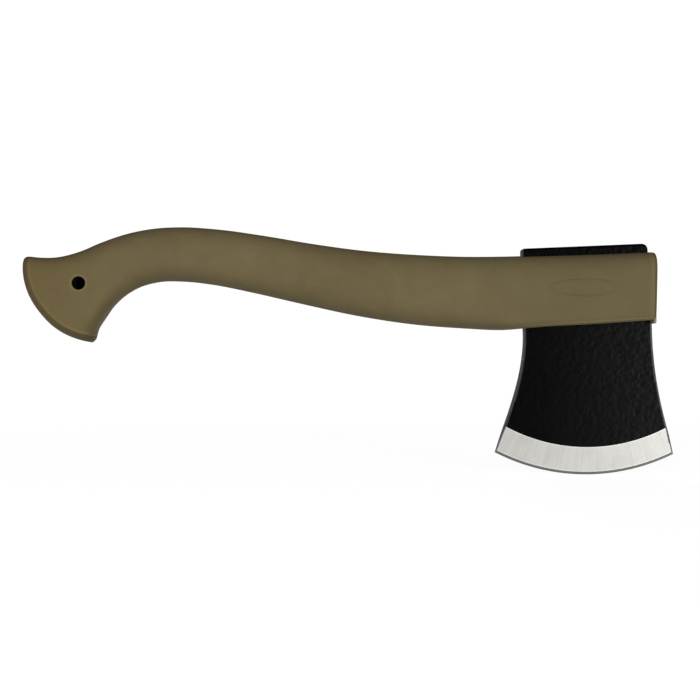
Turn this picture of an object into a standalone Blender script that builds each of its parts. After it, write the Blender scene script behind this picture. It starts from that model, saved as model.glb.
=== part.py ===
"""Compact camping hatchet: one blanked steel head moulded into a polymer handle.

Frame: +X runs along the handle towards the head, +Z is up with the poll on top and the cutting
edge down, and Y is the thickness, with y = 0 in the middle of the steel plate. The lowest point
of the cutting edge is at z = 0, and x = 0 is halfway between the butt and the front corner of
the edge. Dimensions are in millimetres, and mm() turns them into metres.
"""
import math

import bmesh
import bpy
from mathutils import Vector

# ---------------------------------------------------------------- driving dimensions, in mm
PLATE_THICKNESS = 7.0
PLATE_EDGE_ROUNDING = 1.1
GAP = 0.3                       # between the steel and the polymer moulded round it

EDGE_CENTRE = (116.0, 97.2)     # x, z of the common centre of the edge arc and the bevel arc
EDGE_RADIUS = 97.2
BEVEL_WIDTH = 13.7              # ground bevel, measured along the plate
HONED_WIDTH = 1.0               # steeper honed strip along the very edge
HONED_HALF_THICKNESS = 0.45
EDGE_HALF_THICKNESS = 0.15
EDGE_SEGMENTS = 200             # in the whole turn of the grinding form

BLADE_REAR_ROOT = (85.4, 68.0)  # x, z where the blade's rear side leaves the handle
BLADE_REAR_TIP = (71.45, 11.5)
BLADE_REAR_FLARE = 0.36         # slope of the rear side at the cutting edge
BLADE_FRONT_ROOT = (147.95, 75.8)
BLADE_FRONT_TIP = (158.7, 11.2)
BLADE_FRONT_FLARE = 0.29
SHANK_FRONT = (146.1, 79.2)      # inside the handle the front side steps back to here
POLL_REAR = (84.1, 110.8)       # corners of the poll before they are rounded
POLL_FRONT = (145.9, 113.35)
POLL_REAR_ROUNDING = 1.4
POLL_FRONT_ROUNDING = 3.0
KEYING_HOLES = ((102.2, 91.0), (130.2, 92.0))
KEYING_HOLE_RADIUS = 5.0        # the polymer flows through these holes and locks the head
PLUG_HALF_LENGTH = 6.0

BUTT_ROUNDING = 2.6             # rim of the handle's rear end face
FRONT_ROUNDING = 2.0            # rim of its front end face
END_STEPS = 4
BUTT_DOME = 1.5                 # how far the middle of each end face stands out
FRONT_DOME = 0.8
DOME_INSETS = (9.0, 6.6)        # rings of the dome, inside the rim
END_CORNER = 0.12               # at its top and bottom a ring is inset by this share only
LIP_SIZE = (1.5, 19.0, 13.4)    # the moulding wraps down in front of the plate
LIP_CENTRE = (147.85, 80.7)
LIP_ROUNDING = 0.6

LANYARD_HOLE = (-130.35, 93.35)
LANYARD_RADIUS = 3.05
LANYARD_FLARE = 0.7             # how much wider and how deep the rounded mouth of the hole is
ROUND_SEGMENTS = 32

RING_POINTS = 32                # round the handle
RING_SPACING = 5.5              # along the handle
CROWN = 1.8                     # how round its top and bottom edges are (2 is an ellipse)
ROUND_CHEEK = 3.4               # cheeks flatter than this also get squarer edges
BULGE_POWER = 2.3               # how full the bulge of a cut is (2 is a parabola)

# Cuts across the handle, from the butt to the front: top and bottom point (x, z), half
# thickness, how far the cut bulges towards the butt, and how flat its cheeks are above and
# below the middle (2 is an ellipse).
CUTS = (
    ((-159.1, 107.4), (-125.4, 64.7), 14.0, 10.9, 9.0, 7.0),
    ((-151.3, 106.4), (-124.2, 71.0), 14.0, 7.9, 7.5, 7.0),
    ((-142.3, 106.75), (-120.7, 77.0), 13.9, 5.0, 5.5, 7.5),
    ((-132.8, 109.3), (-116.7, 82.3), 13.5, 2.6, 4.0, 5.6),
    ((-122.3, 113.8), (-110.8, 87.5), 12.9, 1.2, 3.0, 3.6),
    ((-109.8, 118.1), (-102.8, 92.1), 12.4, 0.4, 2.6, 2.6),
    ((-96.8, 120.7), (-92.8, 94.6), 12.3, 0.0, 2.5, 2.5),
    ((-82.8, 121.5), (-81.3, 94.7), 12.5, 0.0, 2.5, 2.5),
    ((-64.8, 120.4), (-66.8, 93.1), 12.7, 0.0, 2.5, 2.5),
    ((-42.8, 117.4), (-47.3, 89.2), 12.5, 0.0, 2.5, 2.5),
    ((-18.8, 113.4), (-23.3, 83.7), 12.0, 0.0, 2.5, 2.5),
    ((7.2, 109.9), (3.7, 77.9), 11.8, 0.0, 2.6, 2.6),
    ((33.2, 107.9), (31.2, 73.7), 12.1, 0.0, 2.7, 2.9),
    ((57.2, 107.0), (56.2, 71.7), 12.6, 0.0, 2.8, 4.0),
    ((75.2, 107.1), (75.2, 70.95), 13.0, 0.0, 2.9, 7.0),
    ((91.2, 107.5), (91.2, 72.25), 13.3, 0.0, 3.0, 12.0),
    ((119.2, 108.3), (119.2, 73.8), 13.5, 0.0, 3.0, 14.0),
    ((149.35, 109.2), (148.6, 75.8), 13.5, 0.0, 5.0, 14.0),
)

OLIVE = (0.156, 0.127, 0.060)
COATED_BLACK = (0.008, 0.008, 0.009)


def mm(value):
    return value / 1000.0


# ---------------------------------------------------------------- helpers
def clear_scene():
    for obj in list(bpy.data.objects):
        bpy.data.objects.remove(obj, do_unlink=True)


def new_collection(name):
    collection = bpy.data.collections.new(name)
    bpy.context.scene.collection.children.link(collection)
    return collection


def principled(name, colour, roughness):
    material = bpy.data.materials.new(name)
    material.use_nodes = True
    shader = material.node_tree.nodes["Principled BSDF"]
    shader.inputs["Base Color"].default_value = (*colour, 1.0)
    shader.inputs["Roughness"].default_value = roughness
    shader.inputs["Metallic"].default_value = 0.0
    return material


def mesh_object(name, bm, collection):
    bmesh.ops.recalc_face_normals(bm, faces=bm.faces)
    mesh = bpy.data.meshes.new(name)
    bm.to_mesh(mesh)
    bm.free()
    obj = bpy.data.objects.new(name, mesh)
    collection.objects.link(obj)
    return obj


def as_cutter(obj):
    obj.hide_render = True
    obj.display_type = "WIRE"
    return obj


def boolean(obj, operation, other):
    modifier = obj.modifiers.new(f"{operation.lower()} {other.name}", "BOOLEAN")
    modifier.operation = operation
    modifier.object = other
    modifier.solver = "EXACT"


def cross_bar(name, place, radius, half_length, collection):
    """A cylinder along Y whose axis is at x, z = place."""
    bm = bmesh.new()
    bmesh.ops.create_cone(bm, cap_ends=True, segments=ROUND_SEGMENTS, radius1=mm(radius),
                          radius2=mm(radius), depth=mm(2 * half_length))
    bar = as_cutter(mesh_object(name, bm, collection))
    bar.location = (mm(place[0]), 0.0, mm(place[1]))
    bar.rotation_euler = (math.radians(90), 0.0, 0.0)
    return bar


# ---------------------------------------------------------------- axe head
def plate_knots():
    """The head's outline: each knot with its handle towards the previous and the next knot.

    It runs down the rear side, past the cutting edge, up the front side and over the poll. What
    reaches below the cutting edge is taken off by the grinding form.
    """
    overrun = 14.0
    reach = 22.0
    rear_x, rear_z = BLADE_REAR_TIP
    front_x, front_z = BLADE_FRONT_TIP
    rear_low = (rear_x - BLADE_REAR_FLARE * overrun, rear_z - overrun)
    front_low = (front_x + BLADE_FRONT_FLARE * overrun, front_z - overrun)
    rear_pull = (rear_x + BLADE_REAR_FLARE * reach, rear_z + reach)
    front_pull = (front_x - BLADE_FRONT_FLARE * reach, front_z + reach)
    rear_root_pull = (BLADE_REAR_ROOT[0] + 0.1, BLADE_REAR_ROOT[1] - 18.0)
    root_x, root_z = BLADE_FRONT_ROOT
    shank_x, shank_z = SHANK_FRONT
    front_root_pull = (root_x + 0.2, root_z - 25.8)
    x1, z1 = POLL_REAR
    x2, z2 = POLL_FRONT
    r1 = POLL_REAR_ROUNDING
    r2 = POLL_FRONT_ROUNDING
    slope = (z2 - z1) / (x2 - x1)
    soft = 0.45                 # a Bezier handle at this part of a corner makes it nearly round
    front_side = (x2, z2 - r2)
    front_top = (x2 - r2, z2 - slope * r2)
    rear_top = (x1 + r1, z1 + slope * r1)
    rear_side = (x1, z1 - r1)
    return (
        (BLADE_REAR_ROOT, BLADE_REAR_ROOT, rear_root_pull),
        (BLADE_REAR_TIP, rear_pull, BLADE_REAR_TIP),
        (rear_low, rear_low, rear_low),
        (front_low, front_low, front_low),
        (BLADE_FRONT_TIP, BLADE_FRONT_TIP, front_pull),
        (BLADE_FRONT_ROOT, front_root_pull, (root_x, root_z + 1.7)),
        (SHANK_FRONT, (shank_x, shank_z - 1.7), SHANK_FRONT),
        (front_side, front_side, (x2, z2 - r2 * soft)),
        (front_top, (x2 - r2 * soft, z2 - slope * r2 * soft), front_top),
        (rear_top, rear_top, (x1 + r1 * soft, z1 + slope * r1 * soft)),
        (rear_side, (x1, z1 - r1 * soft), rear_side),
    )


def plate(name, growth, collection):
    """The head's outline as a plate with rounded edges, grown on every side by growth."""
    data = bpy.data.curves.new(name, "CURVE")
    data.dimensions = "2D"
    data.fill_mode = "BOTH"
    data.resolution_u = 10
    data.extrude = mm(PLATE_THICKNESS / 2 + growth - PLATE_EDGE_ROUNDING)
    data.bevel_depth = mm(PLATE_EDGE_ROUNDING)
    data.bevel_resolution = 1
    data.offset = mm(growth - PLATE_EDGE_ROUNDING)
    knots = plate_knots()
    spline = data.splines.new("BEZIER")
    spline.bezier_points.add(len(knots) - 1)
    spline.use_cyclic_u = True
    for knot, (point, before, after) in zip(spline.bezier_points, knots):
        knot.handle_left_type = "FREE"
        knot.handle_right_type = "FREE"
        knot.co = (mm(point[0]), mm(point[1]), 0.0)
        knot.handle_left = (mm(before[0]), mm(before[1]), 0.0)
        knot.handle_right = (mm(after[0]), mm(after[1]), 0.0)
    outline = bpy.data.objects.new(name + "_outline", data)
    outline.rotation_euler = (math.radians(90), 0.0, 0.0)
    collection.objects.link(outline)
    bpy.context.view_layer.update()
    evaluated = outline.evaluated_get(bpy.context.evaluated_depsgraph_get())
    mesh = bpy.data.meshes.new_from_object(evaluated)
    bm = bmesh.new()
    bm.from_mesh(mesh)
    bmesh.ops.remove_doubles(bm, verts=bm.verts, dist=1e-6)
    bm.transform(outline.matrix_world)
    bpy.data.meshes.remove(mesh)
    bpy.data.objects.remove(outline, do_unlink=True)
    return mesh_object(name, bm, collection)


def grinding_form(collection):
    """A lens turned about the centre of the edge arc: the plate is ground down to it."""
    half = PLATE_THICKNESS / 2
    honed = EDGE_RADIUS - HONED_WIDTH
    bevel = EDGE_RADIUS - BEVEL_WIDTH
    spare = 0.5                 # by which the lens is thicker than the plate, above the bevel
    start = bevel - spare * (honed - bevel) / (half - HONED_HALF_THICKNESS)
    profile = ((0.0, half + spare), (start, half + spare), (honed, HONED_HALF_THICKNESS),
               (EDGE_RADIUS, EDGE_HALF_THICKNESS), (EDGE_RADIUS, -EDGE_HALF_THICKNESS),
               (honed, -HONED_HALF_THICKNESS), (start, -half - spare), (0.0, -half - spare))
    bm = bmesh.new()
    points = [bm.verts.new((mm(radius), mm(y), 0.0)) for radius, y in profile]
    for a, b in zip(points, points[1:]):
        bm.edges.new((a, b))
    bmesh.ops.spin(bm, geom=bm.verts[:] + bm.edges[:], cent=(0.0, 0.0, 0.0), axis=(0.0, 1.0, 0.0),
                   angle=2 * math.pi, steps=EDGE_SEGMENTS, use_merge=True)
    bmesh.ops.remove_doubles(bm, verts=bm.verts, dist=1e-6)
    lens = as_cutter(mesh_object("grinding_form", bm, collection))
    lens.location = (mm(EDGE_CENTRE[0]), 0.0, mm(EDGE_CENTRE[1]))
    return lens


def make_axe_head(parts, cutters):
    head = plate("axe_head", 0.0, parts)
    boolean(head, "INTERSECT", grinding_form(cutters))
    for number, place in enumerate(KEYING_HOLES, 1):
        bar = cross_bar(f"keying_hole_{number}", place, KEYING_HOLE_RADIUS, PLATE_THICKNESS, cutters)
        boolean(head, "DIFFERENCE", bar)
    head.data.materials.append(principled("coated_steel", COATED_BLACK, 0.45))
    return head


# ---------------------------------------------------------------- handle
def smooth_cuts():
    """A function that gives the handle's cut at any distance from the butt, and its length.

    The cuts are joined by cubic curves whose slope at each cut comes from its two neighbours.
    """
    rows = [(*top, *bottom, *rest) for top, bottom, *rest in CUTS]
    along = [0.0]
    for a, b in zip(rows, rows[1:]):
        step = (math.dist(a[0:2], b[0:2]) + math.dist(a[2:4], b[2:4])) / 2
        along.append(along[-1] + step)
    steps = [b - a for a, b in zip(along, along[1:])]
    chords = [[(q - p) / h for p, q in zip(a, b)] for a, b, h in zip(rows, rows[1:], steps)]
    rates = [chords[0]]
    for before, after, h0, h1 in zip(chords, chords[1:], steps, steps[1:]):
        rates.append([(p * h1 + q * h0) / (h0 + h1) for p, q in zip(before, after)])
    rates.append(chords[-1])

    def cut_at(distance):
        i = 0
        while i < len(steps) - 1 and distance > along[i + 1]:
            i += 1
        h = steps[i]
        t = (distance - along[i]) / h
        start = 2 * t**3 - 3 * t**2 + 1
        leave = (t**3 - 2 * t**2 + t) * h
        arrive = (t**3 - t**2) * h
        return [start * a + leave * da + (1 - start) * b + arrive * db
                for a, b, da, db in zip(rows[i], rows[i + 1], rates[i], rates[i + 1])]

    return cut_at, along[-1]


def ring(cut, inset):
    """The points round one cut, pulled in on all sides by inset."""
    top_x, top_z, bottom_x, bottom_z, half, bulge, upper_cheek, lower_cheek = cut
    top = Vector((top_x, 0.0, top_z))
    bottom = Vector((bottom_x, 0.0, bottom_z))
    middle = (top + bottom) / 2
    reach = (top - bottom).length / 2
    up = (top - bottom).normalized()
    towards_butt = Vector((-up.z, 0.0, up.x))
    points = []
    for number in range(RING_POINTS):
        angle = 2 * math.pi * number / RING_POINTS
        c = max(-1.0, min(1.0, math.cos(angle)))
        s = math.sin(angle)
        height = c * (reach - END_CORNER * inset)
        cheek = upper_cheek if c > 0 else lower_cheek
        crown = CROWN + 0.3 * max(0.0, cheek - ROUND_CHEEK)
        thickness = math.copysign((1 - abs(c) ** cheek) ** (1 / crown), s) * (half - inset)
        sag = bulge * (1 - abs(height / reach) ** BULGE_POWER)
        point = middle + up * height + towards_butt * sag
        points.append(Vector((mm(point.x), mm(thickness), mm(point.z))))
    return points


def end_rings(rounding, dome):
    """The rings of a domed end face and its rim: distance from the end, and inset."""
    deepest = DOME_INSETS[0]
    rings = [(dome * ((inset - deepest) / (deepest - rounding)) ** 2, inset)
             for inset in DOME_INSETS]
    for step in range(END_STEPS):
        angle = math.radians(90 * step / END_STEPS)
        rings.append((dome + rounding * (1 - math.cos(angle)), rounding * (1 - math.sin(angle))))
    return rings


def handle_blank(collection):
    """The handle before the head's slot and the lanyard hole: a loft from the butt to the front."""
    cut_at, length = smooth_cuts()
    butt = end_rings(BUTT_ROUNDING, BUTT_DOME)
    front = end_rings(FRONT_ROUNDING, FRONT_DOME)
    front = [(length - distance, inset) for distance, inset in reversed(front)]
    first = BUTT_DOME + BUTT_ROUNDING
    last = length - FRONT_DOME - FRONT_ROUNDING
    plain = round((last - first) / RING_SPACING)
    spacing = (last - first) / plain
    places = butt + [(first + spacing * number, 0.0) for number in range(plain + 1)] + front
    bm = bmesh.new()
    rings = [[bm.verts.new(point) for point in ring(cut_at(distance), inset)]
             for distance, inset in places]
    for a, b in zip(rings, rings[1:]):
        for i in range(RING_POINTS):
            j = (i + 1) % RING_POINTS
            bm.faces.new((a[i], a[j], b[j], b[i]))
    # each end face is a row of strips from one cheek to the other
    half = RING_POINTS // 2
    for end in (rings[0], rings[-1]):
        for i in range(half):
            strip = (end[i], end[i + 1], end[-i - 1], end[-i])
            bm.faces.new(list(dict.fromkeys(strip)))
    return mesh_object("handle", bm, collection)


def make_front_lip(collection):
    bm = bmesh.new()
    bmesh.ops.create_cube(bm, size=1.0)
    bmesh.ops.scale(bm, verts=bm.verts, vec=[mm(side) for side in LIP_SIZE])
    lip = as_cutter(mesh_object("front_lip", bm, collection))
    lip.location = (mm(LIP_CENTRE[0]), 0.0, mm(LIP_CENTRE[1]))
    rounding = lip.modifiers.new("rounding", "BEVEL")
    rounding.width = mm(LIP_ROUNDING)
    rounding.segments = 2
    return lip


def lanyard_hole(collection):
    """A round hole through the butt with a flared mouth on each cheek, as one turned cutter."""
    cheek = CUTS[2][2]
    bore = LANYARD_RADIUS
    mouth = bore + LANYARD_FLARE
    beyond = 2.0
    wide = mouth + beyond
    profile = ((0.0, cheek + beyond), (wide, cheek + beyond), (bore, cheek - LANYARD_FLARE),
               (bore, LANYARD_FLARE - cheek), (wide, -cheek - beyond), (0.0, -cheek - beyond))
    bm = bmesh.new()
    points = [bm.verts.new((mm(radius), mm(y), 0.0)) for radius, y in profile]
    for a, b in zip(points, points[1:]):
        bm.edges.new((a, b))
    bmesh.ops.spin(bm, geom=bm.verts[:] + bm.edges[:], cent=(0.0, 0.0, 0.0), axis=(0.0, 1.0, 0.0),
                   angle=2 * math.pi, steps=ROUND_SEGMENTS, use_merge=True)
    bmesh.ops.remove_doubles(bm, verts=bm.verts, dist=1e-6)
    cutter = as_cutter(mesh_object("lanyard_hole", bm, collection))
    cutter.location = (mm(LANYARD_HOLE[0]), 0.0, mm(LANYARD_HOLE[1]))
    return cutter


def make_handle(parts, cutters):
    handle = handle_blank(parts)
    boolean(handle, "UNION", make_front_lip(cutters))
    boolean(handle, "DIFFERENCE", as_cutter(plate("head_slot", GAP, cutters)))
    for number, place in enumerate(KEYING_HOLES, 1):
        radius = KEYING_HOLE_RADIUS - GAP
        plug = cross_bar(f"keying_plug_{number}", place, radius, PLUG_HALF_LENGTH, cutters)
        boolean(handle, "UNION", plug)
    boolean(handle, "DIFFERENCE", lanyard_hole(cutters))
    handle.data.materials.append(principled("olive_polymer", OLIVE, 0.55))
    return handle


# ---------------------------------------------------------------- assembly
def main():
    clear_scene()
    parts = new_collection("hatchet")
    cutters = new_collection("cutters")
    base = bpy.data.objects.new("hatchet_base", None)
    parts.objects.link(base)
    for piece in (make_axe_head(parts, cutters), make_handle(parts, cutters)):
        piece.parent = base
        piece.data.shade_smooth()
        piece.data.set_sharp_from_angle(angle=math.radians(35))


main()
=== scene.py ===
"""Looks of the compact camping hatchet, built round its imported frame.

Two detailed pieces stand for the two CAD solids: the coated and ground steel head, and the olive
polymer handle that is moulded round it. Lengths are in metres, in the frame of the CAD model:
+X towards the head, +Z up, the cutting edge's lowest point at z = 0.
"""
import math

import bmesh
import bpy
import numpy as np
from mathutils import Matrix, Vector, noise


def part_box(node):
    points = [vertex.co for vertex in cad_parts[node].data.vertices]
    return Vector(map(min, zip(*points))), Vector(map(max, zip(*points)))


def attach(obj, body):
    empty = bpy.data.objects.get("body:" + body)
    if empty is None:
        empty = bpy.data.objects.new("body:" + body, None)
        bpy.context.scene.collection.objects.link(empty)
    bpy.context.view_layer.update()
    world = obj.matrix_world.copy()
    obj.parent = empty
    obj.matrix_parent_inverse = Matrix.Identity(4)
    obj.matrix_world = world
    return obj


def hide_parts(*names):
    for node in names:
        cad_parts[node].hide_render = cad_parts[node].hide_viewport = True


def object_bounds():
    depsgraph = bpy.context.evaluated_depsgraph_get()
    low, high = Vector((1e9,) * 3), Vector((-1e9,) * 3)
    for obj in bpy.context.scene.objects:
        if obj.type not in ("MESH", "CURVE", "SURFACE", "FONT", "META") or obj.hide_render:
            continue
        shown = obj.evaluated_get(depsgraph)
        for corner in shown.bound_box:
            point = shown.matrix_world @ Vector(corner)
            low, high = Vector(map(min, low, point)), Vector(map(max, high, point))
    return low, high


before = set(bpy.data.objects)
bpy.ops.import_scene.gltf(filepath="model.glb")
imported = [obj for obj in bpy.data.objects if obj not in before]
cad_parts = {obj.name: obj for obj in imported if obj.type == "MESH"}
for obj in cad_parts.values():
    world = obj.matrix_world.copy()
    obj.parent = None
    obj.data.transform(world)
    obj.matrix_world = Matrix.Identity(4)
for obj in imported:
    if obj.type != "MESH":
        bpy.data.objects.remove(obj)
CAD_LOW, CAD_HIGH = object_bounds()
HEAD_LOW, HEAD_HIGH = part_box("axe_head")
MM = 0.001

# ---------------------------------------------------------------- head, sizes
PLATE_HALF = HEAD_HIGH.y                    # half the plate's thickness
PLATE_ROUND = 1.1 * MM                      # rounding of the plate's long edges
EDGE_RADIUS = 97.2 * MM                     # cutting edge
EDGE_CENTRE = (116.0 * MM, HEAD_LOW.z + EDGE_RADIUS)
BEVEL_RADIUS = EDGE_RADIUS - 13.7 * MM      # where the ground bevel starts
HONED_RADIUS = EDGE_RADIUS - 1.3 * MM       # where the honed strip starts
HONED_HALF = 0.42 * MM
EDGE_HALF = 0.12 * MM
COAT_STEP = 0.09 * MM                       # the coating ends this much proud of the ground steel
COAT_WALL = 0.05 * MM                       # width of that step
COAT_FADE = 0.5 * MM                        # the coating's texture dies out in this width above it
COAT_RELIEF = 0.14 * MM                     # height of the coating's texture
BLADE_REAR_ROOT = (85.4 * MM, 68.0 * MM)
BLADE_REAR_TIP = (71.45 * MM, 11.5 * MM)
BLADE_REAR_FLARE = 0.36
BLADE_FRONT_ROOT = (147.95 * MM, 75.8 * MM)
BLADE_FRONT_TIP = (158.7 * MM, 11.2 * MM)
BLADE_FRONT_FLARE = 0.29
SHANK_FRONT = (146.1 * MM, 79.2 * MM)       # inside the handle the front side steps back to here
POLL_REAR = (84.1 * MM, 110.8 * MM)
POLL_FRONT = (145.9 * MM, 113.35 * MM)
POLL_REAR_ROUND = 1.4 * MM
POLL_FRONT_ROUND = 3.0 * MM
POLL_SLOPE = (POLL_FRONT[1] - POLL_REAR[1]) / (POLL_FRONT[0] - POLL_REAR[0])
POLL_LOW = 100 * MM                         # every face of the head above this is on the poll
BEVEL_TOP = EDGE_CENTRE[1] - BEVEL_RADIUS   # the lowest point of the bevel's upper border
BLADE_TOP = EDGE_CENTRE[1] - BEVEL_RADIUS * 0.5     # the bevel is looked for below this only

# the head's mesh
SIDE_POINTS = 60                            # points along each side of the blade
STEP_POINTS = 12                            # along the step at the shank's front
CORNER_POINTS = 14                          # round each corner of the poll
BEVEL_ROWS = 28
PLAIN_ROWS = 212
FIRST_BEVEL_ROW = 0.06 * MM                 # below the border of the coating
ROWS_BELOW_TOP = (2.6, 2.1, 1.6, 1.15, 0.8, 0.5, 0.28, 0.12, 0.03, 0.0)     # in mm
CURVED_ROWS_END = 66 * MM                   # the rows above this are straight
INNER_COLUMNS = 170
EDGE_SHARES = (0.0, 0.0012, 0.0035, 0.0068, 0.0105, 0.0145, 0.02)   # columns next to each side

# the hammered coating: features per metre, and their share of its height
LUMPS = (480, 0.55)
CELLS = (430, 0.9)
GRAIN = (1300, 0.3)
CELL_MIDDLE = 0.42                          # the cells' own value is taken from this
GRAIN_SHIFT = Vector((3.1, 7.7, 1.9))       # keeps the grain from following the lumps
CHEEK_SHIFT = 0.13                          # gives the two cheeks different textures
TEXTURE_LEAST = 0.35                        # the texture is weak towards the handle, and
TEXTURE_GAIN = 0.85                         # grows by this towards the front,
GAIN_START = 98 * MM                        # from this x on,
GAIN_WIDTH = 47 * MM                        # over this width

# the head's material slots
COATED, GROUND, BORDER, HONED, SHEARED, CORNER = range(6)
BORDER_WIDTHS = (0.5 * MM, 0.45 * MM)       # bright borders of the bevel, above and below
# the grey sides and corners are partly worn coating and partly painted highlight
SIDE_WIDTHS = {"front": 0.8, "coated rear": 0.42, "ground rear": 0.7}      # grey sides, in mm
CORNER_WIDTHS = {"front": 1.2, "rear": 0.95}    # and the dark grey corners beside them

# ---------------------------------------------------------------- handle, sizes
CROWN = 1.8                                 # how round the top and bottom edges are
ROUND_CHEEK = 3.4                           # cheeks flatter than this also get squarer edges,
SQUARING = 0.3                              # by this much of the difference
BULGE_POWER = 2.3                           # how full the bulge of a cut is
BUTT_RIM = 2.5 * MM                         # rounded rims of the two end faces
FRONT_RIM = 1.8 * MM
RIM_BREAK = math.radians(44)                # a rim starts with this crease
BUTT_DOME = 1.5 * MM                        # how far the middle of each end face stands out
FRONT_DOME = 0.8 * MM
DOME_INSET = 9.0 * MM
RIM_RINGS = 14
DOME_RINGS = 12

# the handle's material slots: plain moulding, a painted highlight at the crease of each end rim,
# and painted shade on the end rims and end faces; and where the last two end: how far along the
# handle from the crease of the butt and from the crease of the front
PLAIN, CREASE_HIGHLIGHT, RIM_SHADE = range(3)
CREASE_HIGHLIGHT_LIMITS = (0.9 * MM, -1.5 * MM)
RIM_SHADE_LIMITS = (-0.2 * MM, 0.5 * MM)

END_CORNER = 0.12                           # share of the inset at the top and bottom of a ring
AROUND = 176                                # points round the handle
GRIP_SPACING = 0.9 * MM                     # between the rings of the grip
COLLAR_LENGTH = 72 * MM                     # the part with the finer rings
COLLAR_RINGS = 170
SHARP_CREASE = math.radians(38)
LIP_SIZE = (1.5 * MM, 19.0 * MM, 13.4 * MM)
LIP_CENTRE = (147.85 * MM, 0.0, 80.7 * MM)
LIP_ROUND = 0.7 * MM
SLOT_GAP = 0.16 * MM                        # between the steel and the moulding
SLOT_HEIGHTS = (60 * MM, 118 * MM)          # the slot's cutter reaches past the collar
SLOT_UPRIGHT = 3 * MM                       # its edges that rise by more than this are rounded
SLOT_STEP_UP = 0.4 * MM                     # the slot's front step starts this far above the root
LANYARD_HOLE = (-130.35 * MM, 93.35 * MM)
LANYARD_RADIUS = 3.05 * MM
LANYARD_FLARE = 0.7 * MM
LANYARD_CHEEK = 13.85 * MM                  # half the handle's thickness at the hole
LANYARD_MARGIN = (0.4 * MM, 0.25 * MM)      # the cutter widens by this as it leaves the cheek,
LANYARD_SPARE = 3 * MM                      # and goes on for this
BADGE_CENTRE = (113.3 * MM, 91.2 * MM)      # low, blank oval pads on the collar's cheeks
BADGE_REACH = (15.5 * MM, 3.9 * MM)
BADGE_HEIGHT = 0.16 * MM
SOLE_REAR = (91.2 * MM, 72.25 * MM)         # a point on the collar's lower edge, beside the blade
SOLE_SLOPE = 0.0618

# Cuts across the handle, from the butt to the front, in mm: top and bottom point (x, z), half
# thickness, bulge towards the butt, and how flat the cheeks are above and below the middle (2 is
# an ellipse).
CUTS = (
    ((-159.1, 107.4), (-125.4, 64.7), 14.0, 10.9, 9.0, 7.0),
    ((-151.3, 106.4), (-124.2, 71.0), 14.0, 7.9, 7.5, 7.0),
    ((-142.3, 106.75), (-120.7, 77.0), 13.9, 5.0, 5.5, 7.5),
    ((-132.8, 109.3), (-116.7, 82.3), 13.5, 2.6, 4.0, 5.6),
    ((-122.3, 113.8), (-110.8, 87.5), 12.9, 1.2, 3.0, 3.6),
    ((-109.8, 118.1), (-102.8, 92.1), 12.4, 0.4, 2.6, 2.6),
    ((-96.8, 120.7), (-92.8, 94.6), 12.3, 0.0, 2.5, 2.5),
    ((-82.8, 121.5), (-81.3, 94.7), 12.5, 0.0, 2.5, 2.5),
    ((-64.8, 120.4), (-66.8, 93.1), 12.7, 0.0, 2.5, 2.5),
    ((-42.8, 117.4), (-47.3, 89.2), 12.5, 0.0, 2.5, 2.5),
    ((-18.8, 113.4), (-23.3, 83.7), 12.0, 0.0, 2.5, 2.5),
    ((7.2, 109.9), (3.7, 77.9), 11.8, 0.0, 2.6, 2.6),
    ((33.2, 107.9), (31.2, 73.7), 12.1, 0.0, 2.7, 2.9),
    ((57.2, 107.0), (56.2, 71.7), 12.6, 0.0, 2.8, 4.0),
    ((75.2, 107.1), (75.2, 70.95), 13.0, 0.0, 2.9, 7.0),
    ((91.2, 107.5), (91.2, 72.25), 13.3, 0.0, 3.0, 12.0),
    ((119.2, 108.3), (119.2, 73.8), 13.5, 0.0, 3.0, 14.0),
    ((149.35, 109.2), (148.6, 75.8), 13.5, 0.0, 5.0, 14.0),
)


# ---------------------------------------------------------------- mesh helpers
def grid_faces(rows, columns, offset=0, closed=False):
    """Quads of a grid of points numbered row by row."""
    index = np.arange(rows * columns).reshape(rows, columns) + offset
    if closed:
        index = np.hstack((index, index[:, :1]))
    a, b = index[:-1, :-1], index[:-1, 1:]
    c, d = index[1:, 1:], index[1:, :-1]
    return np.stack((a, b, c, d), axis=-1).reshape(-1, 4)


def mesh_piece(name, points, faces, sharp_degrees=40):
    mesh = bpy.data.meshes.new(name)
    mesh.from_pydata([tuple(p) for p in points], [], [tuple(int(i) for i in f) for f in faces])
    mesh.validate()
    mesh.shade_smooth()
    mesh.set_sharp_from_angle(angle=math.radians(sharp_degrees))
    piece = bpy.data.objects.new(name, mesh)
    bpy.context.scene.collection.objects.link(piece)
    return piece


def outward(piece):
    """Turn every face of a closed mesh outwards."""
    bm = bmesh.new()
    bm.from_mesh(piece.data)
    bmesh.ops.recalc_face_normals(bm, faces=bm.faces)
    bm.to_mesh(piece.data)
    bm.free()


def loose_solid(name, bm):
    """An object made from a bmesh, to be joined to or cut out of another."""
    mesh = bpy.data.meshes.new(name)
    bm.to_mesh(mesh)
    bm.free()
    solid = bpy.data.objects.new(name, mesh)
    bpy.context.scene.collection.objects.link(solid)
    return solid


def smoothstep(value, low, high):
    t = np.clip((value - low) / (high - low), 0.0, 1.0)
    return t * t * (3 - 2 * t)


# ---------------------------------------------------------------- head
def bezier(start, pull_start, pull_end, end, count):
    t = np.linspace(0.0, 1.0, count)[:, None]
    a, b, c, d = (np.array(p) for p in (start, pull_start, pull_end, end))
    return (1 - t)**3 * a + 3 * (1 - t)**2 * t * b + 3 * (1 - t) * t**2 * c + t**3 * d


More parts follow.
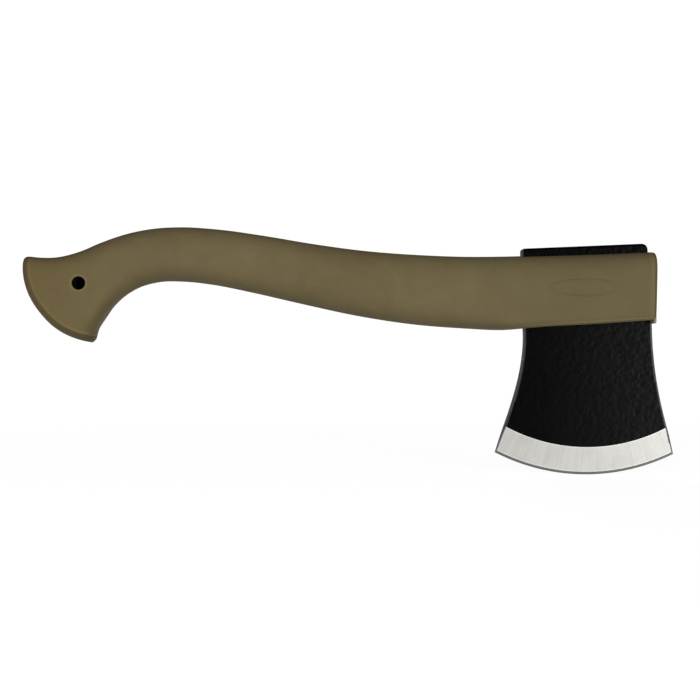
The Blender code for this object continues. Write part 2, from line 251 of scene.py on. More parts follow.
def side_curves():
    """The rear and the front side of the plate, from below the edge to the top of the poll."""
    overrun = 14 * MM
    reach = 22 * MM
    step_pull = 1.7 * MM
    rear_x, rear_z = BLADE_REAR_TIP
    front_x, front_z = BLADE_FRONT_TIP
    root_x, root_z = BLADE_FRONT_ROOT
    shank_x, shank_z = SHANK_FRONT
    rear_tip_pull = (rear_x + BLADE_REAR_FLARE * reach, rear_z + reach)
    rear_root_pull = (BLADE_REAR_ROOT[0] + 0.1 * MM, BLADE_REAR_ROOT[1] - 18 * MM)
    front_tip_pull = (front_x - BLADE_FRONT_FLARE * reach, front_z + reach)
    front_root_pull = (root_x + 0.2 * MM, root_z - 25.8 * MM)
    rear = bezier(BLADE_REAR_TIP, rear_tip_pull, rear_root_pull, BLADE_REAR_ROOT, SIDE_POINTS)
    front = bezier(BLADE_FRONT_TIP, front_tip_pull, front_root_pull, BLADE_FRONT_ROOT, SIDE_POINTS)
    step = bezier(BLADE_FRONT_ROOT, (root_x, root_z + step_pull),
                  (shank_x, shank_z - step_pull), SHANK_FRONT, STEP_POINTS)
    turn = np.linspace(0.0, math.pi / 2, CORNER_POINTS)

    def poll_corner(place, inward, radius):
        top = place[1] + inward * POLL_SLOPE * radius
        return np.stack((place[0] + inward * radius * (1 - np.cos(turn)),
                         top - radius * (1 - np.sin(turn))), axis=1)

    rear_corner = poll_corner(POLL_REAR, 1, POLL_REAR_ROUND)
    front_corner = poll_corner(POLL_FRONT, -1, POLL_FRONT_ROUND)
    rear_low = [(rear_x - BLADE_REAR_FLARE * overrun, rear_z - overrun)]
    front_low = [(front_x + BLADE_FRONT_FLARE * overrun, front_z - overrun)]
    return (np.vstack((rear_low, rear, rear_corner)),
            np.vstack((front_low, front, step[1:], front_corner)))


def distance_to(path, points):
    """Distance of each point to a polyline."""
    best = np.full(len(points), 1.0)
    for a, b in zip(path[:-1], path[1:]):
        step = b - a
        size = step @ step
        if size < 1e-16:
            continue
        t = np.clip(((points - a) @ step) / size, 0.0, 1.0)
        best = np.minimum(best, np.linalg.norm(points - (a + t[:, None] * step), axis=1))
    return best


def column_shares():
    """Places across the plate from 0 to 1, closer together in the rounded edges."""
    steps = np.array(EDGE_SHARES)
    middle = np.linspace(steps[-1], 1 - steps[-1], INNER_COLUMNS)[1:-1]
    return np.concatenate((steps, middle, 1 - steps[::-1]))


def head_rows():
    """Heights of the rows in the middle of the plate, and the radius of the rows in the bevel."""
    radii = np.concatenate((
        [EDGE_RADIUS, (EDGE_RADIUS + HONED_RADIUS) / 2, HONED_RADIUS],
        np.linspace(HONED_RADIUS, BEVEL_RADIUS + FIRST_BEVEL_ROW, BEVEL_ROWS)[1:],
        [BEVEL_RADIUS]))
    bevel = EDGE_CENTRE[1] - radii
    top = (POLL_REAR[1] + POLL_FRONT[1]) / 2
    near_top = top - np.array(ROWS_BELOW_TOP) * MM
    plain = np.linspace(BEVEL_TOP, near_top[0], PLAIN_ROWS)[1:-1]
    return np.concatenate((bevel, plain, near_top)), radii


def row_height(base, x, radius):
    """Height of a row at x: an arc in the bevel, easing into the line of the poll above it."""
    dx = x - EDGE_CENTRE[0]
    if radius is not None:
        return EDGE_CENTRE[1] - np.sqrt(radius**2 - dx**2)
    share = 1 - smoothstep(base, BEVEL_TOP, CURVED_ROWS_END)
    sag = BEVEL_RADIUS - np.sqrt(BEVEL_RADIUS**2 - dx**2)
    middle = (POLL_FRONT[0] + POLL_REAR[0]) / 2
    return base + sag * share + POLL_SLOPE * (x - middle) * (1 - share)


def coat_texture(x, z, side):
    """Height of the hammered epoxy coating, from about -1 to 1."""
    p = Vector((x, z, CHEEK_SHIFT * side))
    lumps = noise.noise(p * LUMPS[0])
    cells = noise.voronoi(p * CELLS[0])[0][0]
    fine = noise.noise(p * GRAIN[0] + GRAIN_SHIFT)
    gain = TEXTURE_LEAST + TEXTURE_GAIN * min(max((x - GAIN_START) / GAIN_WIDTH, 0.0), 1.0)
    return (LUMPS[1] * lumps + CELLS[1] * (CELL_MIDDLE - cells) + GRAIN[1] * fine) * gain


def head_grid(rear, front):
    """The x and z of the points of one cheek, row by row."""
    heights, radii = head_rows()
    shares = column_shares()
    trials = 12                 # to find where a bent row meets the side
    flat = np.zeros((len(heights), len(shares), 2))
    for i, base in enumerate(heights):
        radius = radii[i] if i < len(radii) else None
        ends = []
        for path in (rear, front):
            x = np.interp(base, path[:, 1], path[:, 0])
            for _ in range(trials):
                z = row_height(base, x, radius)
                x = np.interp(z, path[:, 1], path[:, 0])
            ends.append(x)
        xs = ends[0] + (ends[1] - ends[0]) * shares
        flat[i, :, 0] = xs
        flat[i, :, 1] = row_height(base, xs, radius)
    return flat


def head_thickness(flat, outline):
    """Half the thickness at each point, and how much of the coating's texture it carries."""
    points = flat.reshape(-1, 2)
    inside = distance_to(outline, points).reshape(flat.shape[:2])
    inside[:, (0, -1)] = 0.0
    inside[-1, :] = 0.0
    lift = np.clip(PLATE_ROUND - inside.ravel(), 0.0, PLATE_ROUND)
    plate = PLATE_HALF - PLATE_ROUND + np.sqrt(PLATE_ROUND**2 - lift**2)
    reach = np.hypot(points[:, 0] - EDGE_CENTRE[0], points[:, 1] - EDGE_CENTRE[1])
    in_blade = points[:, 1] < BLADE_TOP
    bevel = np.interp(reach, [BEVEL_RADIUS, BEVEL_RADIUS + COAT_WALL, HONED_RADIUS, EDGE_RADIUS],
                      [PLATE_HALF, PLATE_HALF - COAT_STEP, HONED_HALF, EDGE_HALF])
    half = np.where(in_blade, np.minimum(plate, bevel), plate)
    coated = 1 - smoothstep(reach, BEVEL_RADIUS - COAT_FADE, BEVEL_RADIUS)
    return half, np.where(in_blade, coated, 1.0)


def head_finish(head, outline):
    """Give the head its materials and each of its faces a slot."""
    centres = np.zeros(len(head.data.polygons) * 3)
    head.data.polygons.foreach_get("center", centres)
    centres = centres.reshape(-1, 3)
    far = np.hypot(centres[:, 0] - EDGE_CENTRE[0], centres[:, 2] - EDGE_CENTRE[1])
    low = centres[:, 2] < BLADE_TOP
    in_bevel = low & (far > BEVEL_RADIUS + 0.01 * MM)
    above, below = BORDER_WIDTHS
    slot = np.full(len(centres), COATED)
    slot[in_bevel] = GROUND
    slot[in_bevel & ((far < BEVEL_RADIUS + above) | (far > HONED_RADIUS - below))] = BORDER
    slot[low & (far > HONED_RADIUS)] = HONED
    # the sheared sides are greyer, and so is the rounding next to them: partly worn coating,
    # partly a painted highlight for the light line along the plate's edges
    to_side = distance_to(outline, centres[:, (0, 2)])
    wall = np.abs(centres[:, 1]) < PLATE_HALF - PLATE_ROUND
    at_front = centres[:, 0] > EDGE_CENTRE[0]
    coated = slot == COATED
    at_rear = np.where(coated, SIDE_WIDTHS["coated rear"], SIDE_WIDTHS["ground rear"])
    side_width = np.where(at_front, SIDE_WIDTHS["front"], at_rear) * MM
    corner_width = np.where(at_front, CORNER_WIDTHS["front"], CORNER_WIDTHS["rear"]) * MM
    slot[(to_side < corner_width) & coated] = CORNER
    slot[((to_side < side_width) | (wall & coated)) & (slot != HONED)] = SHEARED
    # the poll is coated all over but for its rear side
    slot[(centres[:, 2] > POLL_LOW) & (centres[:, 0] > POLL_REAR[0] + 1.0 * MM)] = COATED
    for material in (coated_steel(), ground_steel(), ground_steel(bright=True), honed_steel(),
                     sheared_steel("sheared_sides_and_painted_highlight", 0.085, 0.125),
                     sheared_steel("coated_corners_and_painted_highlight", 0.020, 0.036)):
        head.data.materials.append(material)
    head.data.polygons.foreach_set("material_index", slot)


def make_head():
    rear, front = side_curves()
    outline = np.vstack((rear, front[::-1]))
    flat = head_grid(rear, front)
    half, coated = head_thickness(flat, outline)
    rows, columns = flat.shape[:2]
    points = flat.reshape(-1, 2)
    solid = []
    for side in (-1, 1):
        texture = np.array([coat_texture(x, z, side) for x, z in points])
        y = side * (half + texture * coated * COAT_RELIEF)
        solid.append(np.stack((points[:, 0], y, points[:, 1]), axis=1))
    count = rows * columns
    faces = [grid_faces(rows, columns), grid_faces(rows, columns, count)[:, ::-1]]
    # walls between the two cheeks: rear side, front side, cutting edge, and the top of the poll
    index = np.arange(count).reshape(rows, columns)
    for rim in (index[:, 0], index[:, -1], index[0, :], index[-1, :]):
        faces.append(np.stack((rim[:-1], rim[1:], rim[1:] + count, rim[:-1] + count), axis=1))
    head = mesh_piece("axe_head_finish", np.vstack(solid), np.vstack(faces))
    outward(head)
    head_finish(head, outline)
    return head


# ---------------------------------------------------------------- handle
def cut_table():
    """The cuts as rows in metres (the last two columns have no unit), and the way along them."""
    table = np.array([[*top, *bottom, *rest] for top, bottom, *rest in CUTS])
    table[:, :6] *= MM
    top_steps = np.linalg.norm(np.diff(table[:, 0:2], axis=0), axis=1)
    bottom_steps = np.linalg.norm(np.diff(table[:, 2:4], axis=0), axis=1)
    along = np.concatenate(([0.0], np.cumsum((top_steps + bottom_steps) / 2)))
    return table, along


def cuts_at(distances):
    """The handle's cuts at the given distances from the butt, on cubic curves through CUTS."""
    table, along = cut_table()
    steps = np.diff(along)
    chords = np.diff(table, axis=0) / steps[:, None]
    h0 = steps[:-1, None]
    h1 = steps[1:, None]
    inner = (chords[:-1] * h1 + chords[1:] * h0) / (h0 + h1)
    rates = np.vstack((chords[:1], inner, chords[-1:]))
    i = np.clip(np.searchsorted(along, distances) - 1, 0, len(steps) - 1)
    h = steps[i][:, None]
    t = (distances[:, None] - along[i][:, None]) / h
    start = 2 * t**3 - 3 * t**2 + 1
    leave = (t**3 - 2 * t**2 + t) * h
    arrive = (t**3 - t**2) * h
    return start * table[i] + leave * rates[i] + (1 - start) * table[i + 1] + arrive * rates[i + 1]


def end_rings(rim, dome):
    """The rings of a domed end face and its creased rim: distances from the end, and insets."""
    turn = np.linspace(math.pi / 2, RIM_BREAK, RIM_RINGS)
    depth = dome + rim * (1 - np.sin(turn)) / (1 - math.sin(RIM_BREAK))
    inset = rim * (math.cos(RIM_BREAK) - np.cos(turn)) / math.cos(RIM_BREAK)
    dome_inset = np.linspace(DOME_INSET, rim, DOME_RINGS)[:-1]
    dome_depth = dome * ((dome_inset - DOME_INSET) / (DOME_INSET - rim))**2
    return np.concatenate((dome_depth, depth[:-1])), np.concatenate((dome_inset, inset[:-1]))


def handle_stations():
    """Distances of the rings from the butt, and how far each is pulled in for the end rims."""
    length = cut_table()[1][-1]
    butt_depth, butt_inset = end_rings(BUTT_RIM, BUTT_DOME)
    front_depth, front_inset = end_rings(FRONT_RIM, FRONT_DOME)
    collar = length - COLLAR_LENGTH
    grip = np.arange(BUTT_DOME + BUTT_RIM, collar, GRIP_SPACING)
    fine = np.linspace(collar, length - FRONT_DOME - FRONT_RIM, COLLAR_RINGS)
    distances = np.concatenate((butt_depth, grip, fine, (length - front_depth)[::-1]))
    insets = np.concatenate((butt_inset, 0 * grip, 0 * fine, front_inset[::-1]))
    return distances, insets


def ring_finish():
    """The material slot of each strip between two rings."""
    distances, _ = handle_stations()
    middles = (distances[1:] + distances[:-1]) / 2
    butt_crease = BUTT_DOME + BUTT_RIM
    front_crease = cut_table()[1][-1] - FRONT_DOME - FRONT_RIM
    finish = np.full(len(middles), PLAIN)
    # painted highlight on a band at each crease, painted shade on the rims and end faces outside
    # it
    for slot, (butt, front) in ((CREASE_HIGHLIGHT, CREASE_HIGHLIGHT_LIMITS), (RIM_SHADE, RIM_SHADE_LIMITS)):
        finish[(middles < butt_crease + butt) | (middles > front_crease + front)] = slot
    return finish


def handle_surface():
    """The points of the handle's rings, with the domed ends and the oval pads."""
    distances, insets = handle_stations()
    cuts = cuts_at(distances)
    top = cuts[:, 0:2]
    bottom = cuts[:, 2:4]
    middle = (top + bottom) / 2
    reach = np.linalg.norm(top - bottom, axis=1) / 2
    up = (top - bottom) / (2 * reach[:, None])
    towards_butt = np.stack((-up[:, 1], up[:, 0]), axis=1)
    half, bulge = cuts[:, 4], cuts[:, 5]
    angle = 2 * math.pi * np.arange(AROUND) / AROUND
    c = np.cos(angle)[None, :]
    s = np.sin(angle)[None, :]
    height = c * (reach - END_CORNER * insets)[:, None]
    cheek = np.where(c > 0, cuts[:, 6:7], cuts[:, 7:8])
    crown = CROWN + SQUARING * np.maximum(0.0, cheek - ROUND_CHEEK)
    body = np.maximum(1 - np.abs(c) ** cheek, 0.0)
    thickness = np.sign(s) * body ** (1 / crown) * (half - insets)[:, None]
    sag = bulge[:, None] * (1 - np.abs(height / reach[:, None])**BULGE_POWER)
    x = middle[:, 0:1] + up[:, 0:1] * height + towards_butt[:, 0:1] * sag
    z = middle[:, 1:2] + up[:, 1:2] * height + towards_butt[:, 1:2] * sag
    across = (x - BADGE_CENTRE[0]) / BADGE_REACH[0]
    above = (z - BADGE_CENTRE[1]) / BADGE_REACH[1]
    pad = 1 - smoothstep(across**2 + above**2, 0.5, 1.3)
    thickness = thickness + np.sign(s) * BADGE_HEIGHT * pad
    return np.stack((x, thickness, z), axis=-1)


def make_handle():
    grid = handle_surface()
    rings = len(grid)
    points = grid.reshape(-1, 3)
    faces = [grid_faces(rings, AROUND, closed=True)]
    half = AROUND // 2
    for first in (0, (rings - 1) * AROUND):
        ring = np.arange(AROUND) + first
        for i in range(half):
            strip = (ring[i], ring[i + 1], ring[(-i - 1) % AROUND], ring[-i % AROUND])
            faces.append(np.array([strip]))
    solid = [list(dict.fromkeys(int(v) for v in face)) for block in faces for face in block]
    mesh = bpy.data.meshes.new("handle_finish")
    mesh.from_pydata([tuple(p) for p in points], [], solid)
    # the end faces carry the painted shade of the end rims
    slots = np.full(len(solid), RIM_SHADE)
    slots[:(rings - 1) * AROUND] = np.repeat(ring_finish(), AROUND)
    # plain moulding, painted highlight along the creases, painted shade on the end rims
    mesh.materials.append(olive_polymer("olive_polymer_moulded", POLYMER_PLAIN))
    mesh.materials.append(olive_polymer("olive_polymer_crease_highlight", POLYMER_CREASE_HIGHLIGHT))
    mesh.materials.append(olive_polymer("olive_polymer_end_rims_shade", POLYMER_RIM_SHADE))
    mesh.polygons.foreach_set("material_index", slots)
    mesh.shade_smooth()
    handle = bpy.data.objects.new("handle_finish", mesh)
    bpy.context.scene.collection.objects.link(handle)
    outward(handle)
    for cutter, operation in ((lip_block(), "UNION"), (slot_cutter(), "DIFFERENCE"),
                              (lanyard_cutter(), "DIFFERENCE")):
        apply_boolean(handle, cutter, operation)
    handle.data.shade_smooth()
    handle.data.set_sharp_from_angle(angle=SHARP_CREASE)
    return handle


def apply_boolean(piece, other, operation):
    modifier = piece.modifiers.new(operation.lower(), "BOOLEAN")
    modifier.operation = operation
    modifier.object = other
    modifier.solver = "EXACT"
    bpy.context.view_layer.update()
    evaluated = piece.evaluated_get(bpy.context.evaluated_depsgraph_get())
    result = bpy.data.meshes.new_from_object(evaluated)
    piece.modifiers.clear()
    old = piece.data
    piece.data = result
    bpy.data.meshes.remove(old)
    bpy.data.objects.remove(other, do_unlink=True)


def lip_block():
    """The small lip of the moulding that wraps down in front of the plate."""
    bm = bmesh.new()
    bmesh.ops.create_cube(bm, size=1.0)
    bmesh.ops.scale(bm, verts=bm.verts, vec=LIP_SIZE)
    bmesh.ops.bevel(bm, geom=bm.edges[:], offset=LIP_ROUND, segments=5, profile=0.5,
                    affect="EDGES")
    bmesh.ops.translate(bm, verts=bm.verts, vec=LIP_CENTRE)
    return loose_solid("lip", bm)


def slot_cutter():
    """The room for the plate inside the collar, slightly larger than the plate."""
    low, high = SLOT_HEIGHTS
    gap = SLOT_GAP

    def along(lower, upper, z):
        return lower[0] + (upper[0] - lower[0]) * (z - lower[1]) / (upper[1] - lower[1])

    front_x = BLADE_FRONT_ROOT[0] + gap
    corners = [(along(BLADE_REAR_ROOT, POLL_REAR, low) - gap, low), (front_x, low),
               (front_x, BLADE_FRONT_ROOT[1] + SLOT_STEP_UP),
               (SHANK_FRONT[0] + gap, SHANK_FRONT[1]),
               (along(SHANK_FRONT, POLL_FRONT, high) + gap, high),
               (along(BLADE_REAR_ROOT, POLL_REAR, high) - gap, high)]
    bm = bmesh.new()
    near = [bm.verts.new((x, -PLATE_HALF - gap, z)) for x, z in corners]
    far = [bm.verts.new((x, PLATE_HALF + gap, z)) for x, z in corners]
    bm.faces.new(near)
    bm.faces.new(far[::-1])
    for i in range(len(corners)):
        j = (i + 1) % len(corners)
        bm.faces.new((near[j], near[i], far[i], far[j]))
    bmesh.ops.recalc_face_normals(bm, faces=bm.faces)
    upright = [e for e in bm.edges if abs(e.verts[0].co.z - e.verts[1].co.z) > SLOT_UPRIGHT]
    bmesh.ops.bevel(bm, geom=upright, offset=PLATE_ROUND, segments=5, profile=0.5, affect="EDGES")
    return loose_solid("slot", bm)


def lanyard_cutter():
    """The lanyard hole with its rounded mouths, as one turned solid."""
    turn = np.linspace(0.0, math.pi / 2, 9)
    radius = LANYARD_RADIUS + LANYARD_FLARE * (1 - np.cos(turn))
    depth = LANYARD_CHEEK - LANYARD_FLARE + LANYARD_FLARE * np.sin(turn)
    mouth = LANYARD_RADIUS + LANYARD_FLARE
    beyond = LANYARD_CHEEK + LANYARD_SPARE
    outer = [(mouth + LANYARD_MARGIN[0], LANYARD_CHEEK + LANYARD_MARGIN[1]),
             (mouth + LANYARD_SPARE, beyond), (0.0, beyond)]
    half = [*zip(radius, depth), *outer]
    profile = [(r, -y) for r, y in reversed(half)] + half
    bm = bmesh.new()
    points = [bm.verts.new((r, y, 0.0)) for r, y in profile]
    for a, b in zip(points, points[1:]):
        bm.edges.new((a, b))
    bmesh.ops.spin(bm, geom=bm.verts[:] + bm.edges[:], cent=(0, 0, 0), axis=(0, 1, 0),
                   angle=2 * math.pi, steps=72, use_merge=True)
    bmesh.ops.remove_doubles(bm, verts=bm.verts, dist=1e-7)
    bmesh.ops.recalc_face_normals(bm, faces=bm.faces)
    bmesh.ops.translate(bm, verts=bm.verts, vec=(LANYARD_HOLE[0], 0.0, LANYARD_HOLE[1]))
    return loose_solid("lanyard", bm)


# ---------------------------------------------------------------- materials
class Shader:
    """A small helper that adds and links the nodes of one material."""

    def __init__(self, name):
        self.material = bpy.data.materials.new(name)
        self.material.use_nodes = True
        self.tree = self.material.node_tree
        self.surface = self.tree.nodes["Principled BSDF"]

    def add(self, kind, operation=None, **inputs):
        node = self.tree.nodes.new(kind)
        if operation:
            node.operation = operation
        for name, value in inputs.items():
            self.feed(node.inputs[name.replace("_", " ")], value)
        return node

    def feed(self, socket, value):
        if isinstance(value, bpy.types.NodeSocket):
            self.tree.links.new(value, socket)
        else:
            socket.default_value = value

    def math(self, operation, *values):
        node = self.tree.nodes.new("ShaderNodeMath")
        node.operation = operation
        for socket, value in zip(node.inputs, values):
            self.feed(socket, value)
        return node.outputs[0]

    def sum_of_squares(self, a, b):
        return self.math("ADD", self.math("MULTIPLY", a, a), self.math("MULTIPLY", b, b))

    def place(self):
        return self.tree.nodes.new("ShaderNodeTexCoord").outputs["Object"]

    def noise(self, vector, scale, detail=3.0, roughness=0.5):
        node = self.add("ShaderNodeTexNoise", Scale=scale, Detail=detail, Roughness=roughness)
        self.feed(node.inputs["Vector"], vector)
        return node.outputs["Fac"]

    def remap(self, value, low, high, to_low, to_high):
        node = self.add("ShaderNodeMapRange")
        for name, number in (("From Min", low), ("From Max", high), ("To Min", to_low),
                             ("To Max", to_high)):
            node.inputs[name].default_value = number
        self.feed(node.inputs["Value"], value)
        return node.outputs["Result"]

    def ramp(self, value, stops):
        node = self.tree.nodes.new("ShaderNodeValToRGB")
        elements = node.color_ramp.elements
        while len(elements) < len(stops):
            elements.new(0.5)
        for element, (place, colour) in zip(elements, stops):
            element.position = place
            element.color = (*colour, 1.0)
        self.feed(node.inputs["Fac"], value)
        return node.outputs["Color"]

    def blend(self, share, first, second):
        node = self.tree.nodes.new("ShaderNodeMix")
        node.data_type = "RGBA"
        self.feed(node.inputs["Factor"], share)
        self.feed(node.inputs[6], first)
        self.feed(node.inputs[7], second)
        return node.outputs[2]

    def bump(self, height, strength, distance, below=None):
        node = self.add("ShaderNodeBump", Strength=strength, Distance=distance)
        self.feed(node.inputs["Height"], height)
        if below is not None:
            self.feed(node.inputs["Normal"], below)
        return node.outputs["Normal"]

    def set(self, **inputs):
        for name, value in inputs.items():
            self.feed(self.surface.inputs[name.replace("_", " ")], value)
        return self.material


POLYMER_PLAIN = ((0.40, (0.141, 0.111, 0.053)), (0.60, (0.168, 0.134, 0.065)))
# painted highlight: a band of the handle along the crease of each end rim
POLYMER_CREASE_HIGHLIGHT = ((0.40, (0.178, 0.143, 0.071)), (0.60, (0.198, 0.159, 0.078)))
# painted shade: the handle's end rims and end faces
POLYMER_RIM_SHADE = ((0.40, (0.074, 0.058, 0.026)), (0.60, (0.086, 0.068, 0.030)))
TINT_AT_HEAD = (0.128, 0.105, 0.052, 1.0)
TINT_AT_BUTT = (0.152, 0.108, 0.042, 1.0)
# painted highlight: a light line along the collar's lower edges
PAINTED_SOLE_HIGHLIGHT = (0.330, 0.270, 0.140, 1.0)
# painted highlight: the light ring round the mouth of the lanyard hole
PAINTED_MOUTH_HIGHLIGHT = (0.196, 0.158, 0.080, 1.0)
# painted shade: the colour inside the lanyard hole
PAINTED_BORE_SHADE = (0.013, 0.011, 0.009, 1.0)
# painted sheen on the coating of the blade, towards its front corner
PAINTED_COAT_SHEEN = (0.0085, 0.0085, 0.0085, 1.0)


def lanyard_reach(s, parts):
    """Distance from the axis of the lanyard hole."""
    across = s.math("SUBTRACT", parts.outputs["X"], LANYARD_HOLE[0])
    above = s.math("SUBTRACT", parts.outputs["Z"], LANYARD_HOLE[1])
    return s.math("SQRT", s.sum_of_squares(across, above))


def collar_sole_highlight(s, parts):
    """Painted highlight along the lower edges of the collar, beside the blade, lightening their
    shade.
    """
    x = parts.outputs["X"]
    sole = s.math("MULTIPLY_ADD", s.math("SUBTRACT", x, SOLE_REAR[0]), SOLE_SLOPE, SOLE_REAR[1])
    above = s.math("SUBTRACT", parts.outputs["Z"], sole)
    return s.math("MULTIPLY", s.remap(above, 0.6 * MM, 1.8 * MM, 0.75, 0.0),
                  s.remap(x, 76 * MM, 90 * MM, 0.0, 1.0))


def blank_badge(s, parts):
    """Height of the thin raised border of the oval pad on each cheek of the collar."""
    from_centre = [s.math("SUBTRACT", parts.outputs[axis], centre)
                   for axis, centre in zip("XZ", BADGE_CENTRE)]
    across, above = [s.math("DIVIDE", value, reach)
                     for value, reach in zip(from_centre, BADGE_REACH)]
    reach = s.sum_of_squares(across, above)
    rise = s.remap(reach, 0.72, 0.88, 0.0, 1.0)
    fall = s.remap(reach, 1.05, 1.22, 1.0, 0.0)
    return s.math("MULTIPLY", rise, fall)


def olive_polymer(name, shades):
    s = Shader(name)
    place = s.place()
    drift = s.math("ADD", s.math("MULTIPLY", s.noise(place, 14.0, 2.0), 0.55),
                   s.math("MULTIPLY", s.noise(place, 95.0, 4.0, 0.6), 0.45))
    grain = s.noise(place, 1500.0, 3.0, 0.6)
    uneven = s.math("ADD", s.math("MULTIPLY", drift, 0.8), s.math("MULTIPLY", grain, 0.2))
    colour = s.ramp(uneven, shades)
    parts = s.add("ShaderNodeSeparateXYZ", Vector=place)
    x = parts.outputs["X"]
    colour = s.blend(s.remap(x, 30 * MM, 110 * MM, 0.0, 0.5), colour, TINT_AT_HEAD)
    colour = s.blend(s.remap(x, -155 * MM, -105 * MM, 0.6, 0.0), colour, TINT_AT_BUTT)
    # painted highlight along the collar's lower edges
    colour = s.blend(collar_sole_highlight(s, parts), colour, PAINTED_SOLE_HIGHLIGHT)
    # painted shade darkens the inside of the lanyard hole, and a painted highlight lightens its
    # mouth
    reach = lanyard_reach(s, parts)
    # painted highlight on a ring round the mouth of the lanyard hole
    mouth = s.math("MULTIPLY", s.remap(reach, LANYARD_RADIUS, LANYARD_RADIUS + 0.5 * MM, 0.0, 0.8),
                   s.remap(reach, LANYARD_RADIUS + 0.6 * MM, LANYARD_RADIUS + 1.7 * MM, 1.0, 0.0))
    colour = s.blend(mouth, colour, PAINTED_MOUTH_HIGHLIGHT)
    # painted shade inside the lanyard hole, which also loses its reflection
    bore_shade = s.remap(reach, LANYARD_RADIUS + 0.10 * MM, LANYARD_RADIUS + 0.35 * MM, 1.0, 0.0)
    colour = s.blend(bore_shade, colour, PAINTED_BORE_SHADE)
    shine = s.remap(bore_shade, 0.0, 1.0, 0.11, 0.0)
    rough = s.remap(s.noise(place, 260.0, 4.0, 0.6), 0.3, 0.7, 0.58, 0.68)
    peel = s.bump(s.noise(place, 420.0, 2.0), 0.25, 0.12 * MM)
    badge = s.bump(blank_badge(s, parts), 1.0, 0.22 * MM, peel)
    skin = s.bump(grain, 0.35, 0.06 * MM, badge)
    return s.set(Base_Color=colour, Roughness=rough, Normal=skin, Specular_IOR_Level=shine)


def coated_steel():
    s = Shader("coated_steel_hammered")
    place = s.place()
    rough = s.remap(s.noise(place, 700.0, 3.0), 0.3, 0.7, 0.28, 0.38)
    shade = s.ramp(s.noise(place, 60.0, 3.0), ((0.3, (0.0004, 0.0004, 0.0004)),
                                              (0.7, (0.0009, 0.0009, 0.0009))))
    # painted sheen: the coating of the blade is lighter towards its front corner
    parts = s.add("ShaderNodeSeparateXYZ", Vector=place)
    sheen_share = s.math("MULTIPLY", s.remap(parts.outputs["X"], 95 * MM, 160 * MM, 0.0, 1.0),
                    s.remap(s.noise(place, 420.0, 3.0, 0.6), 0.3, 0.7, 0.5, 1.0))
    in_blade = s.remap(parts.outputs["Z"], 70 * MM, POLL_LOW, 1.0, 0.0)
    shade = s.blend(s.math("MULTIPLY", sheen_share, in_blade), shade, PAINTED_COAT_SHEEN)
    fine = s.bump(s.noise(place, 1900.0, 2.0), 0.3, 0.05 * MM)
    return s.set(Base_Color=shade, Roughness=rough, Normal=fine, Specular_IOR_Level=0.034)


# grey steel for the sides and corners, partly worn, partly painted highlight
def sheared_steel(name, darkest, lightest):
    s = Shader(name)
    worn = s.noise(s.place(), 900.0, 3.0, 0.6)
    shade = s.ramp(worn, ((0.3, (darkest,) * 3), (0.7, (lightest,) * 3)))
    return s.set(Base_Color=shade, Roughness=0.5, Specular_IOR_Level=0.2)


def grinding_lines(s, along, across):
    """Where a place is along and across the rays from the centre of the edge arc."""
    centre = s.add("ShaderNodeVectorMath", "SUBTRACT")
    s.feed(centre.inputs[0], s.place())
    centre.inputs[1].default_value = (EDGE_CENTRE[0], 0.0, EDGE_CENTRE[1])
    x, y, z = s.add("ShaderNodeSeparateXYZ", Vector=centre.outputs[0]).outputs
    turn = s.math("ARCTAN2", x, z)
    reach = s.math("SQRT", s.sum_of_squares(x, z))
    joined = s.add("ShaderNodeCombineXYZ", X=s.math("MULTIPLY", turn, across),
                   Y=s.math("MULTIPLY", reach, along), Z=s.math("MULTIPLY", y, along))
    return joined.outputs[0]


GROUND_PLAIN = ((0.35, (0.470, 0.457, 0.429)), (0.65, (0.605, 0.592, 0.565)))
GROUND_BRIGHT = ((0.35, (0.600, 0.588, 0.560)), (0.65, (0.680, 0.668, 0.640)))


def ground_steel(bright=False):
    s = Shader("ground_steel_borders" if bright else "ground_steel_bevel")
    lines = grinding_lines(s, 60.0, 420.0)
    coarse = grinding_lines(s, 14.0, 60.0)
    streak = s.noise(lines, 1.0, 3.0, 0.7)
    band = s.math("ADD", s.math("MULTIPLY", s.noise(coarse, 1.0, 2.0), 0.5),
                  s.math("MULTIPLY", s.noise(s.place(), 130.0, 3.0, 0.6), 0.5))
    uneven = s.math("ADD", s.math("MULTIPLY", streak, 0.4), s.math("MULTIPLY", band, 0.6))
    colour = s.ramp(uneven, GROUND_BRIGHT if bright else GROUND_PLAIN)
    rough = s.remap(streak, 0.3, 0.7, 0.36, 0.48)
    normal = s.bump(streak, 0.25, 0.04 * MM)
    return s.set(Base_Color=colour, Roughness=rough, Normal=normal, Metallic=1.0)


# painted shade: the honed strip is far darker than steel, for a dark line along the edge
def honed_steel():
    s = Shader("honed_steel_edge_painted_shade")
    lines = grinding_lines(s, 60.0, 900.0)
    streak = s.noise(lines, 1.0, 3.0, 0.7)
    colour = s.ramp(streak, ((0.3, (0.10, 0.10, 0.097)), (0.7, (0.18, 0.18, 0.175))))
    return s.set(Base_Color=colour, Roughness=0.32, Metallic=1.0)


# ---------------------------------------------------------------- studio and camera
STUDIO_RADIUS = 6.0
WHITE = (1.0, 1.0, 1.0, 1.0)
BACKDROP_GLOW = 1.02


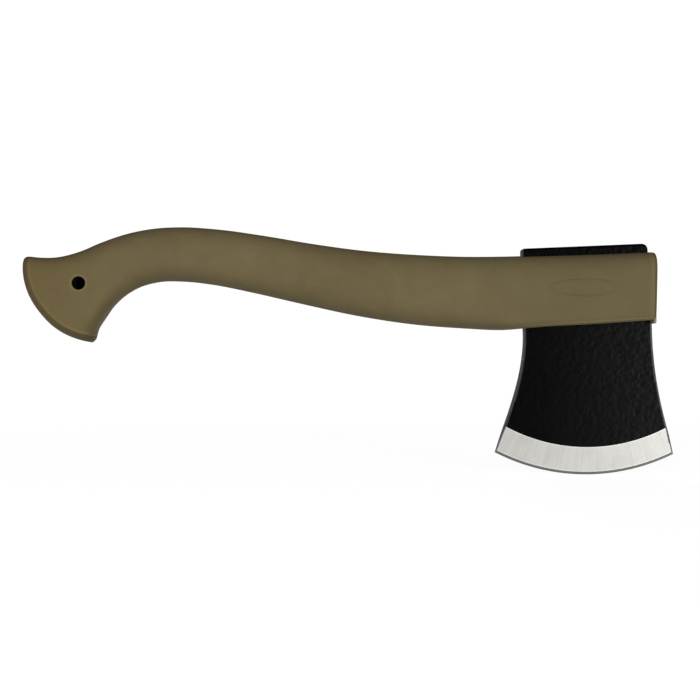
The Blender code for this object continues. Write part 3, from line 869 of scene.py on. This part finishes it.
def studio_floor():
    """A round floor that is softly shaded under the hatchet and glows white further out."""
    s = Shader("studio_floor")
    place = s.place()
    length = s.add("ShaderNodeVectorMath", "LENGTH")
    s.feed(length.inputs[0], place)
    near = s.remap(length.outputs["Value"], 0.35, 0.8, 0.0, 1.0)
    glow = s.remap(near, 0.0, 1.0, 0.90, BACKDROP_GLOW)
    s.set(Base_Color=s.ramp(near, ((0.0, (0.35, 0.35, 0.35)), (1.0, (0.0, 0.0, 0.0)))),
          Roughness=0.9, Specular_IOR_Level=0.0, Emission_Color=WHITE,
          Emission_Strength=glow)
    bpy.ops.mesh.primitive_circle_add(vertices=96, radius=STUDIO_RADIUS, fill_type="NGON")
    floor = bpy.context.object
    floor.name = "studio_floor"
    floor.location.z = CAD_LOW.z - 0.05 * MM
    floor.data.materials.append(s.material)
    floor.visible_diffuse = False
    floor.visible_shadow = False
    return floor


def studio_dome():
    """The white backdrop, which lights nothing and is only seen by the camera."""
    s = Shader("studio_dome")
    s.set(Base_Color=(0.0, 0.0, 0.0, 1.0), Specular_IOR_Level=0.0,
          Emission_Color=WHITE, Emission_Strength=BACKDROP_GLOW)
    bpy.ops.mesh.primitive_uv_sphere_add(segments=48, ring_count=24, radius=STUDIO_RADIUS)
    dome = bpy.context.object
    dome.name = "studio_dome"
    dome.data.materials.append(s.material)
    dome.visible_diffuse = False
    dome.visible_glossy = False
    dome.visible_shadow = False
    dome.visible_transmission = False
    return dome


def area_light(name, place, aim, size, power):
    light = bpy.data.lights.new(name, "AREA")
    light.shape = "RECTANGLE"
    light.size, light.size_y = size
    light.energy = power
    lamp = bpy.data.objects.new(name, light)
    bpy.context.scene.collection.objects.link(lamp)
    lamp.location = place
    lamp.rotation_mode = "QUATERNION"
    lamp.rotation_quaternion = (Vector(aim) - Vector(place)).to_track_quat("-Z", "Y")
    return lamp


def make_studio():
    studio_floor()
    studio_dome()
    world = bpy.data.worlds.new("studio")
    world.use_nodes = True
    background = world.node_tree.nodes["Background"]
    background.inputs["Color"].default_value = WHITE
    background.inputs["Strength"].default_value = 0.15
    bpy.context.scene.world = world
    middle = (CAD_LOW + CAD_HIGH) / 2
    key = area_light("key_front_left", (-0.35, -1.5, 0.18), middle, (0.9, 0.9), 12.4)
    key.visible_glossy = False
    area_light("strip_front_right", (0.80, -1.32, 0.02), middle, (0.25, 0.8), 10.2)
    rear = area_light("rear_fill", (0.0, 1.6, 0.12), middle, (0.5, 0.5), 11.5)
    rear.visible_glossy = False
    bpy.context.scene.view_settings.view_transform = "Standard"


CAMERA_DISTANCE = 0.58
CAMERA_PLACE = (0.13 * MM, 61.17 * MM)      # x and z
FRAME_WIDTH = 344.3 * MM                    # seen across the picture in the plane of the plate


def make_camera():
    data = bpy.data.cameras.new("camera")
    data.sensor_width = 36.0
    data.lens = data.sensor_width * CAMERA_DISTANCE / FRAME_WIDTH
    camera = bpy.data.objects.new("camera", data)
    camera.location = (CAMERA_PLACE[0], -CAMERA_DISTANCE, CAMERA_PLACE[1])
    camera.rotation_euler = (math.radians(90), 0.0, 0.0)
    bpy.context.scene.collection.objects.link(camera)
    bpy.context.scene.camera = camera


# ---------------------------------------------------------------- assembly
make_camera()
make_studio()
head = make_head()
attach(head, "root")
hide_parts("axe_head")
handle = make_handle()
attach(handle, "root")
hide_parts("handle")
